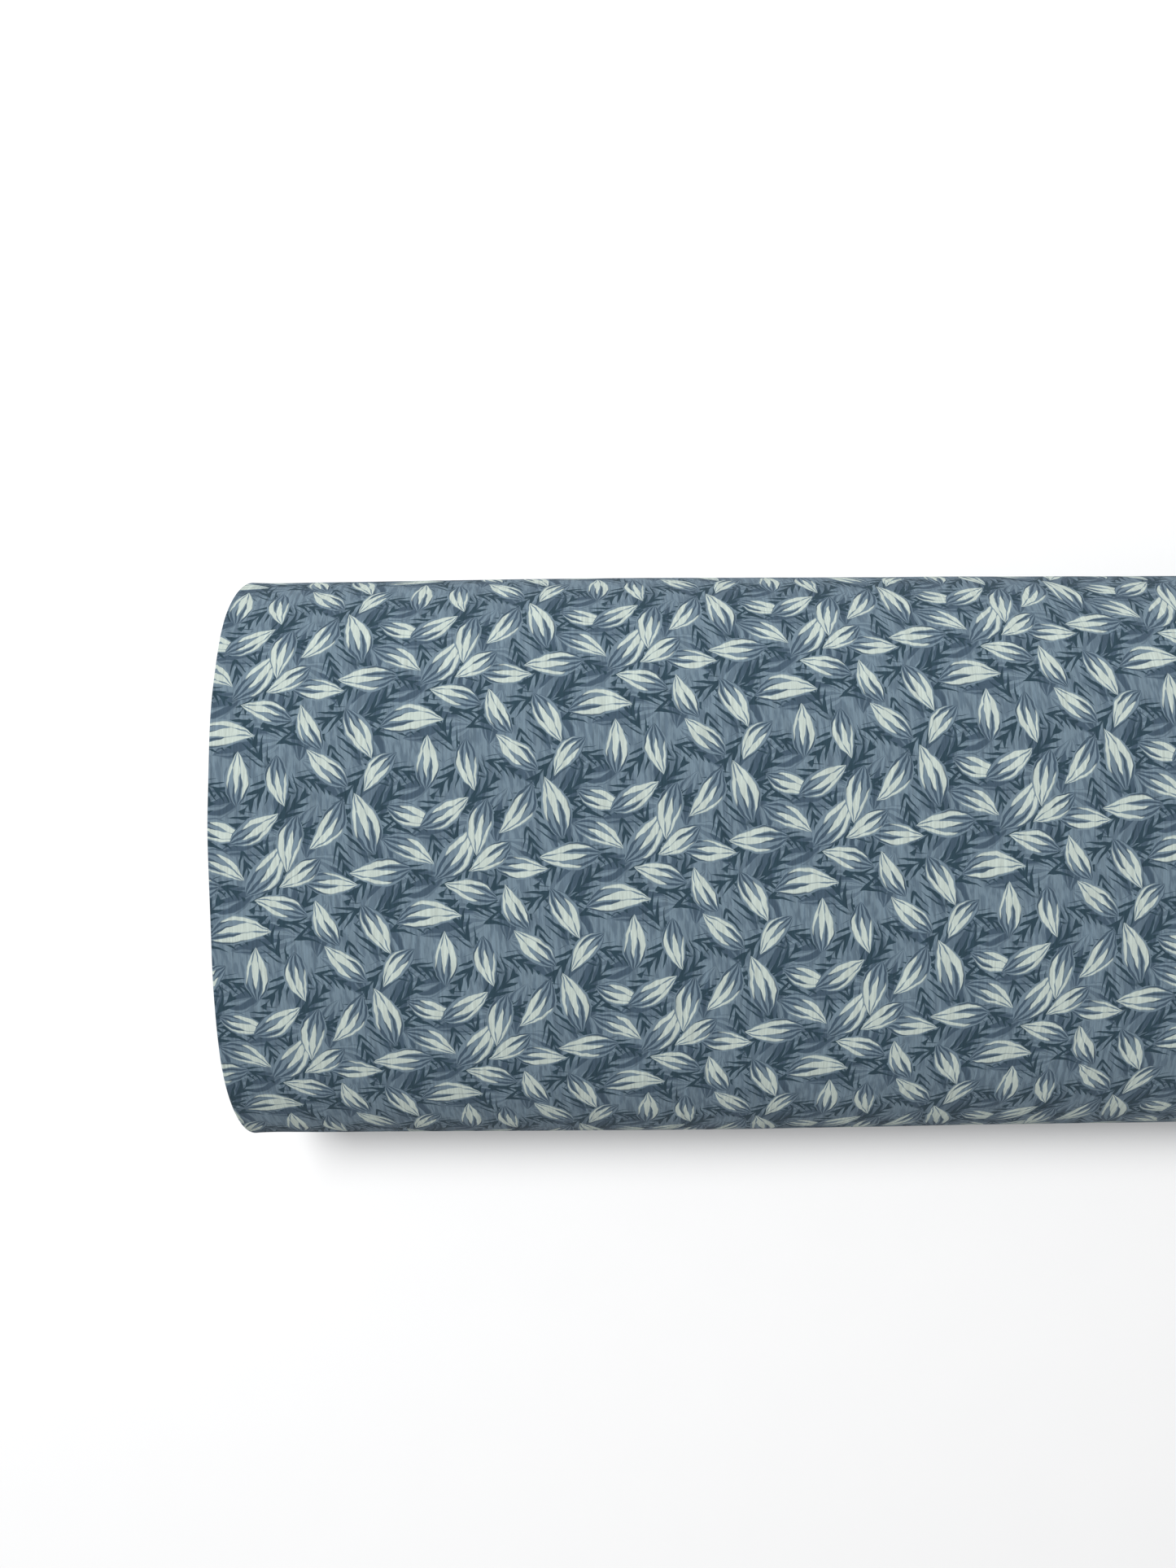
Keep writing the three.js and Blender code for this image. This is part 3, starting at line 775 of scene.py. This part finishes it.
def lay_cloth(name, rows, columns, look, lift=None, proud=0.0):
    """Lays a flat grid along the winding, doubled over its fold, and gives it the cloth's thickness."""
    side, distance, bend = columns.T
    height, width = len(rows.y), len(side)
    level = np.clip(rows.normal_z, 0, 1)[:, None]
    fold = look.layer_step * (FOLD_PINCHED + FOLD_PUFFED * level)
    fold = fold * (1 + 0.18 * stray(rows.length, *FOLD_PUFFS)[:, None])
    fold_stray = 0.9 + stray(rows.length, *FOLD_DRIFT) + 0.5 * stray(rows.length, *FOLD_RIPPLE)
    start = FOLD_X + look.stagger * fold_stray
    start = start - proud * level[:, 0] ** 2
    flat = np.abs(side) > 0
    half_gap = look.layer_step / 2
    near_fold = np.clip(1 - distance / FOLD_EASE, 0, 1) ** 2
    offset = np.where(flat, side * (half_gap + (fold - half_gap) * near_fold), fold * np.sin(bend))
    apart = 0.8 * stray(rows.length, *SELVEDGES_APART)[:, None] * side
    together = 0.4 * stray(rows.length, *SELVEDGES_TOGETHER)[:, None]
    uneven = look.stagger * (apart + together)
    reach = distance + uneven * (distance / (SELVEDGE_X - FOLD_X)) ** SELVEDGE_SHARE
    x = start[:, None] + np.where(flat, np.maximum(reach, fold), fold * (1 - np.cos(bend)))
    if lift is not None:
        offset = offset + lift(x, rows)
    y = rows.y[:, None] + offset * rows.normal_y[:, None]
    z = rows.z[:, None] + offset * rows.normal_z[:, None]
    u = np.where(flat, side * np.maximum(distance, look.layer_step), look.layer_step * np.sin(bend))
    u = np.broadcast_to(u, (height, width))
    v = np.broadcast_to(rows.length[:, None], (height, width))
    mesh = grid_mesh(name, height, width, np.stack([x, y, z], axis=2), np.stack([u, v], axis=2), "cloth")
    piece = new_piece(name, mesh)
    thicken(piece, look.thickness)
    return piece


def faded(distance, reach):
    """0 up to a place and 1 from a reach past it, with a straight slope between."""
    return np.clip(distance / reach, 0, 1)


def ease(share):
    """A smooth step of a share from 0 to 1."""
    return share * share * (3 - 2 * share)


STRAY_GAIN = 1.6  # brings the noise to about -1 to 1


def stray(length, wavelength, offset):
    """Smooth unevenness from -1 to 1 along the cloth."""
    return np.array([noise.noise((s / wavelength, offset, 0.5)) for s in length]) * STRAY_GAIN


def grid_mesh(name, rows, columns, places, uv, uv_name):
    """A grid of rows by columns vertices, each moved to its place."""
    work = bmesh.new()
    bmesh.ops.create_grid(work, x_segments=columns - 1, y_segments=rows - 1, size=1)
    mesh = bpy.data.meshes.new(name)
    work.to_mesh(mesh)
    work.free()
    count = len(mesh.vertices)
    flat = np.zeros(count * 3)
    mesh.vertices.foreach_get("co", flat)
    flat = flat.reshape(-1, 3)
    column = np.rint((flat[:, 0] + 1) / 2 * (columns - 1)).astype(int)
    row = np.rint((flat[:, 1] + 1) / 2 * (rows - 1)).astype(int)
    mesh.vertices.foreach_set("co", places[row, column].ravel())
    corner = np.zeros(len(mesh.loops), int)
    mesh.loops.foreach_get("vertex_index", corner)
    layer = mesh.uv_layers.new(name=uv_name)
    layer.data.foreach_set("uv", uv[row, column][corner].ravel())
    mesh.update()
    return mesh


def new_piece(name, mesh):
    """Puts a smooth-shaded mesh into the scene."""
    mesh.shade_smooth()
    piece = bpy.data.objects.new(name, mesh)
    bpy.context.scene.collection.objects.link(piece)
    return piece


def thicken(piece, thickness):
    """Makes the surface a sheet with that thickness, half to each side."""
    modifier = piece.modifiers.new("thickness", "SOLIDIFY")
    modifier.thickness = thickness
    modifier.offset = 0
    depsgraph = bpy.context.evaluated_depsgraph_get()
    mesh = bpy.data.meshes.new_from_object(piece.evaluated_get(depsgraph))
    piece.modifiers.clear()
    piece.data = mesh


def settings(name):
    """One of the settings groups in GROUPS."""
    return getattr(bpy.context.scene, name)


def dress(piece, material):
    """Gives a new piece its only material."""
    piece.data.materials.clear()
    piece.data.materials.append(material)


def dress_node(name, material):
    """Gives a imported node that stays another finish."""
    node = frame["nodes"][name]
    if not node.material_slots:
        node.data.materials.append(material)
    node.material_slots[0].material = material


def cotton():
    """The cloth's material, made once for all its pieces."""
    made = bpy.data.materials.get("printed_cotton")
    return made or cloth_material(settings("bolt_print"), SELVEDGE_X - FOLD_X)


# ---------------------------------------------------------------- cloth


# Ripples of the outer turn: wavelengths along the bolt and the cloth, a layer of the noise, and a share.
BROAD_RIPPLE, BROAD_LAYER, BROAD_SHARE = (0.115, 0.150), 0.0, 0.62
NARROW_RIPPLE, NARROW_LAYER, NARROW_SHARE = (0.034, 0.120), 7.0, 0.16
CALM_ENDS = 0.03  # ripples fade over this much before the fold and the selvedges
CALM_SEAM = 0.03  # and where the outer turn begins
CALM_TABLE = (0.002, 0.012)  # height above the table where ripples begin, and over which they grow
SIDE_RIPPLE = 0.25  # share of the ripple that the tightly wound sides have
SWELL_ABOVE = (0.032, 0.018)  # height where the swell begins, and over which it grows
SWELL_REACH = 0.17  # from the folded end to the full swell
NIP_LONG, NIP_WIDE, NIP_STEEPNESS = 0.0062, 0.0036, 1.2
PUCKER, PUCKER_STEP, PUCKER_LONGER, PUCKER_WIDER = 0.00028, 0.0036, 2.6, 4.0  # small waves round a nip

INNER_STEP = 0.015  # mesh step on the turns that hardly show
INNER_LOOSENESS = 0.00022
UNDER_COARSER = 1.5


def nip_places(winding):
    """Where each pin's nip stands: x along the bolt and length along the cloth."""
    places = []
    tail = winding.angle > winding.outer_start + QUARTER_TURN
    for number in PIN_NUMBERS:
        tip, axis, _ = pin_line(number)
        middle = tip + axis * settings("bolt_cloth").nip_reach
        gap = np.hypot(winding.across[tail] - middle.y, winding.height[tail] - middle.z)
        places.append((middle.x, winding.length[tail][int(np.argmin(gap))]))
    return places


def outer_lift(winding, look):
    """How far the outer turn stands off its line: soft ripples, and the nips at the pins."""
    nips = nip_places(winding)
    seam = winding.length[np.searchsorted(winding.angle, winding.outer_start)]

    def lift(x, rows):
        height, width = x.shape
        ripple = np.zeros((height, width))
        for i, s in enumerate(rows.length):
            for j, place in enumerate(x[i]):
                broad = noise.noise((place / BROAD_RIPPLE[0], s / BROAD_RIPPLE[1], BROAD_LAYER))
                narrow = noise.noise((place / NARROW_RIPPLE[0], s / NARROW_RIPPLE[1], NARROW_LAYER))
                ripple[i, j] = 0.5 + BROAD_SHARE * broad + NARROW_SHARE * narrow
        ripple = np.clip(ripple, 0, 1) * look.ripple
        ends = faded(x - FOLD_X, CALM_ENDS) * faded(SELVEDGE_X - x, CALM_ENDS)
        level = SIDE_RIPPLE + (1 - SIDE_RIPPLE) * np.abs(rows.normal_z)[:, None]
        off_table = faded(rows.z - CALM_TABLE[0], CALM_TABLE[1])[:, None]
        off_seam = faded(rows.length - seam, CALM_SEAM)[:, None]
        raised = ripple * ends * level * off_table * off_seam
        above_pins = faded(rows.z - SWELL_ABOVE[0], SWELL_ABOVE[1])[:, None]
        raised = raised + look.swell * above_pins * ease(faded(x - FOLD_X, SWELL_REACH))
        for nip_x, nip_s in nips:
            along = (x - nip_x) / NIP_LONG
            across = (rows.length[:, None] - nip_s) / NIP_WIDE
            raised = raised + look.nip_height * np.exp(-(along ** 2 + across ** 2) ** NIP_STEEPNESS)
            pucker = PUCKER * np.cos((x - nip_x) / PUCKER_STEP * math.pi)
            raised = raised + pucker * np.exp(-((along / PUCKER_LONGER) ** 2 + (across / PUCKER_WIDER) ** 2))
        return raised

    return lift


class BOLT_OT_inner_turns(bpy.types.Operator):
    """Winds the doubled cloth on the board, all but its last turn and a half"""

    bl_idname = "bolt.inner_turns"
    bl_label = "Inner turns"

    def execute(self, context):
        look = settings("bolt_cloth")
        winding = Winding(look)
        rows = winding.rows(0, winding.under_start, INNER_STEP)
        rows.shift(np.abs(rows.normal_z) * INNER_LOOSENESS * stray(rows.length, *LOOSE_TURNS))
        piece = lay_cloth("cloth_inner_turns", rows, folded_columns(0.19, 3), look)
        dress(piece, cotton())
        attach(piece, "roll")
        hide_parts("fabric_roll")
        return {"FINISHED"}


class BOLT_OT_under_turn(bpy.types.Operator):
    """Lays the half turn that the tail covers"""

    bl_idname = "bolt.under_turn"
    bl_label = "Turn under the tail"

    def execute(self, context):
        look = settings("bolt_cloth")
        winding = Winding(look)
        rows = winding.rows(winding.under_start, winding.outer_start, look.fine_step * UNDER_COARSER)
        piece = lay_cloth("cloth_under_tail", rows, folded_columns(0.006, 8), look)
        dress(piece, cotton())
        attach(piece, "roll")
        return {"FINISHED"}


class BOLT_OT_outer_turn(bpy.types.Operator):
    """Lays the outer turn and the tail, whose cut end is turned under"""

    bl_idname = "bolt.outer_turn"
    bl_label = "Outer turn and tail"

    def execute(self, context):
        look = settings("bolt_cloth")
        winding = Winding(look)
        rows = winding.rows(winding.outer_start, winding.angle[-1], look.fine_step)
        rows = hem_rows(rows, look.hem, look.layer_step)
        columns = folded_columns(look.fine_step, 10)
        lift = outer_lift(winding, look)
        piece = lay_cloth("cloth_outer_turn", rows, columns, look, lift, look.fold_proud)
        dress(piece, cotton())
        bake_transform(piece)
        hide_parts("fabric_tail")
        return {"FINISHED"}


# ---------------------------------------------------------------- board


LINER_GAP = 0.0003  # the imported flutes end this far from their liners
WAVE_FLATNESS = 0.85  # under 1 the crests are broader than a sine's


class BOLT_OT_board(bpy.types.Operator):
    """Finishes the board's sleeve, liners and tape, and makes its fluted sheets"""

    bl_idname = "bolt.board"
    bl_label = "Board"

    def execute(self, context):
        look = settings("bolt_board")
        kraft = paper_material("kraft_sleeve", look.kraft)
        core = paper_material("corrugated_core", look.core, grain=700.0, roughness=0.92)
        tape = paper_material("gummed_tape", look.tape, grain=1200.0, roughness=0.5)
        dress_node("board_sleeve", kraft)
        for liner in ("core_liner_top", "core_liner_middle", "core_liner_bottom"):
            dress_node(liner, core)
        dress_node("start_tape", tape)
        for node in ("core_flute_upper", "core_flute_lower"):
            flute = fluted_sheet(node, look)
            dress(flute, core)
            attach(flute, "roll")
            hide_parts(node)
        return {"FINISHED"}


def fluted_sheet(node, look):
    """A wavy sheet that reaches from liner to liner."""
    low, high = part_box(node)
    count = look.waves * look.wave_steps + 1
    middle = (low.z + high.z) / 2
    height = (high.z - low.z) / 2 + LINER_GAP - look.flute_thickness
    y = np.linspace(low.y, high.y, count)
    wave = np.sin(np.linspace(0, TURN * look.waves, count))
    z = middle + height * np.sign(wave) * np.abs(wave) ** WAVE_FLATNESS
    x = np.linspace(low.x, high.x, 3)
    places = np.zeros((count, len(x), 3))
    places[:, :, 0], places[:, :, 1], places[:, :, 2] = x[None, :], y[:, None], z[:, None]
    mesh = grid_mesh(node + "_paper", count, len(x), places, places[:, :, :2], "paper")
    piece = new_piece(node + "_paper", mesh)
    thicken(piece, look.flute_thickness)
    return piece


# ---------------------------------------------------------------- label


LEG_STEPS, BEND_STEPS, DROP_STEPS, LABEL_STEPS = 11, 8, 8, 59
BOW, BOW_LENGTH, BOW_PHASE = 0.00025, 0.041, 0.6  # the hanging face isn't quite flat
BOW_FADE = 0.014


class BOLT_OT_label(bpy.types.Operator):
    """Makes the folded card that is tucked into the board's end"""

    bl_idname = "bolt.label"
    bl_label = "End label"

    def execute(self, context):
        look = settings("bolt_label")
        half = look.thickness / 2
        top, face = LABEL_HIGH.z - half, LABEL_HIGH.x - half
        leg = [(x, top) for x in np.linspace(LABEL_LOW.x, face - look.bend, LEG_STEPS + 1)]
        turning = np.linspace(QUARTER_TURN, 0, BEND_STEPS + 1)[1:-1]
        bend = [
            (face - look.bend + look.bend * math.cos(a), top - look.bend + look.bend * math.sin(a))
            for a in turning
        ]
        drop = [(face, z) for z in np.linspace(top - look.bend, LABEL_LOW.z + half, DROP_STEPS + 1)]
        path = np.array(leg + bend + drop)
        y = np.linspace(LABEL_LOW.y, LABEL_HIGH.y, LABEL_STEPS + 1)
        places = np.zeros((len(y), len(path), 3))
        places[:, :, 0], places[:, :, 2] = path[None, :, 0], path[None, :, 1]
        places[:, :, 1] = y[:, None]
        bow = BOW * np.sin(y / BOW_LENGTH + BOW_PHASE)[:, None]
        places[:, :, 0] += bow * faded(top - path[:, 1], BOW_FADE)
        depth = np.broadcast_to(path[None, :, 1] - LABEL_LOW.z, (len(y), len(path)))
        uv = np.stack([np.broadcast_to(y[:, None], depth.shape), depth], axis=2)
        piece = new_piece("label_card", grid_mesh("label_card", len(y), len(path), places, uv, "card"))
        thicken(piece, look.thickness)
        dress(piece, card_material(look))
        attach(piece, "label")
        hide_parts("end_label")
        return {"FINISHED"}


# ---------------------------------------------------------------- pins


PIN_TAPER = [(0.0, 0.0), (0.25, 0.12), (0.55, 0.42), (0.82, 0.74), (1.0, 1.0)]  # shares of radius and point
SHANK_IN_HEAD = 0.8  # of the head's radius, from its middle to the shank's end
BALL_STEPS = 20
MERGE_DISTANCE = 1e-6


def pin_line(number):
    """A pin's tip, its axis and its length up to the middle of the head."""
    axis = Vector(JOINTS[f"pin_{number}_pull"]["axis"]).normalized()
    head_low, head_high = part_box(f"pin_{number}_head")
    shank_low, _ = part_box(f"pin_{number}_shank")
    head = (head_low + head_high) / 2
    head.x = head_high.x - (head_high.y - head_low.y) / 2
    length = (head.x - shank_low.x) / axis.x
    return head - axis * length, axis, length


def turned(name, profile, sides, place):
    """A round piece: its profile is (radius, distance along the axis), from one end to the other."""
    work = bmesh.new()
    points = [work.verts.new((radius, 0, along)) for radius, along in profile]
    edges = [work.edges.new(pair) for pair in zip(points, points[1:])]
    bmesh.ops.spin(
        work, geom=points + edges, cent=(0, 0, 0), axis=(0, 0, 1), angle=TURN, steps=sides, use_merge=True
    )
    bmesh.ops.remove_doubles(work, verts=work.verts, dist=MERGE_DISTANCE)
    bmesh.ops.recalc_face_normals(work, faces=work.faces)
    bmesh.ops.transform(work, matrix=place, verts=work.verts)
    mesh = bpy.data.meshes.new(name)
    work.to_mesh(mesh)
    work.free()
    return new_piece(name, mesh)


class BOLT_OT_pins(bpy.types.Operator):
    """Makes the ball-headed pins that hold the tail"""

    bl_idname = "bolt.pins"
    bl_label = "Pins"

    def execute(self, context):
        look = settings("bolt_pins")
        steel, glass = steel_material(look), glass_material(look)
        for number in PIN_NUMBERS:
            tip, axis, length = pin_line(number)
            place = Matrix.Translation(tip) @ axis.to_track_quat("Z", "Y").to_matrix().to_4x4()
            shank = [(look.radius * r, look.point * a) for r, a in PIN_TAPER]
            end = length - look.head_radius * SHANK_IN_HEAD
            shank += [(look.radius, end), (0.0, end)]
            wire = turned(f"pin_{number}_wire", shank, look.sides, place)
            ball = [
                (look.head_radius * math.sin(a), length - look.head_radius * math.cos(a))
                for a in np.linspace(0, math.pi, BALL_STEPS + 1)
            ]
            ball[-1] = (0.0, length + look.head_radius)
            head = turned(f"pin_{number}_ball", ball, look.sides, place)
            for piece, material, node, slot in (
                (wire, steel, "shank", "pin_steel"), (head, glass, "head", "pin_glass"),
            ):
                dress(piece, material)
                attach(piece, f"pin_{number}")
                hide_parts(f"pin_{number}_{node}")
        return {"FINISHED"}


# ---------------------------------------------------------------- stage


FLOOR_HALF = 6
KEY_PLACE, KEY_TARGET = (-0.8, 1.05, 2.42), (0, 0, 0.05)
KEY_SIZE = (1.1, 0.9)
SENSOR_WIDTH = 36  # mm, as the lens is stated on it
NEAREST_SEEN = 0.01


def area_light(name, place, target, size, power):
    """A rectangular soft lamp that points at its target."""
    lamp = bpy.data.lights.new(name, "AREA")
    lamp.shape = "RECTANGLE"
    lamp.size, lamp.size_y = size
    lamp.energy = power
    light = bpy.data.objects.new(name, lamp)
    light.location = place
    light.rotation_euler = (Vector(target) - Vector(place)).to_track_quat("-Z", "Y").to_euler()
    bpy.context.scene.collection.objects.link(light)


class BOLT_OT_stage(bpy.types.Operator):
    """Sets up the floor, the soft lights and the camera"""

    bl_idname = "bolt.stage"
    bl_label = "Stage"

    def execute(self, context):
        look = settings("bolt_stage")
        scene = context.scene
        work = bmesh.new()
        bmesh.ops.create_grid(work, x_segments=8, y_segments=8, size=FLOOR_HALF)
        mesh = bpy.data.meshes.new("floor")
        work.to_mesh(mesh)
        work.free()
        floor = new_piece("floor", mesh)
        dress(floor, floor_material(look))

        world = bpy.data.worlds.new("studio")
        world.use_nodes = True
        sky = world.node_tree.nodes["Background"]
        sky.inputs["Color"].default_value = (*look.sky, 1)
        sky.inputs["Strength"].default_value = look.sky_strength
        scene.world = world
        area_light("key", KEY_PLACE, KEY_TARGET, KEY_SIZE, look.key_power)
        scene.view_settings.view_transform = "Standard"

        lens = bpy.data.cameras.new("camera")
        lens.lens = look.lens
        lens.sensor_width = SENSOR_WIDTH
        lens.clip_start = NEAREST_SEEN
        camera = bpy.data.objects.new("camera", lens)
        tilt = Vector(look.camera_tilt)
        turn = Matrix.Rotation(tilt.length, 4, tilt.normalized())
        place = (FOLD_X + look.camera_from_fold, look.camera_across, PLANE_Z + look.camera_height)
        camera.matrix_world = Matrix.Translation(place) @ turn
        scene.collection.objects.link(camera)
        scene.camera = camera
        return {"FINISHED"}


OPERATORS = (
    BOLT_OT_stage,
    BOLT_OT_inner_turns,
    BOLT_OT_under_turn,
    BOLT_OT_outer_turn,
    BOLT_OT_board,
    BOLT_OT_label,
    BOLT_OT_pins,
)


class BOLT_PT_panel(bpy.types.Panel):
    """Shows the settings, and a button for each operator"""

    bl_idname = "BOLT_PT_panel"
    bl_label = "Fabric bolt"
    bl_space_type = "VIEW_3D"
    bl_region_type = "UI"
    bl_category = "Bolt"

    def draw(self, context):
        for name, group in GROUPS.items():
            box = self.layout.box()
            box.label(text=name.replace("bolt_", "").capitalize())
            for key in group.__annotations__:
                box.prop(getattr(context.scene, name), key)
        for operator in OPERATORS:
            self.layout.operator(operator.bl_idname)


def register():
    for name, group in GROUPS.items():
        bpy.utils.register_class(group)
        setattr(bpy.types.Scene, name, PointerProperty(type=group))
    for operator in OPERATORS:
        bpy.utils.register_class(operator)
    bpy.utils.register_class(BOLT_PT_panel)


def unregister():
    bpy.utils.unregister_class(BOLT_PT_panel)
    for operator in reversed(OPERATORS):
        bpy.utils.unregister_class(operator)
    for name, group in GROUPS.items():
        delattr(bpy.types.Scene, name)
        bpy.utils.unregister_class(group)


def main():
    """Builds the whole scene."""
    register()
    bpy.ops.bolt.stage()
    bpy.ops.bolt.inner_turns()
    bpy.ops.bolt.under_turn()
    bpy.ops.bolt.outer_turn()
    bpy.ops.bolt.board()
    bpy.ops.bolt.label()
    bpy.ops.bolt.pins()


if __name__ == "__main__":
    main()
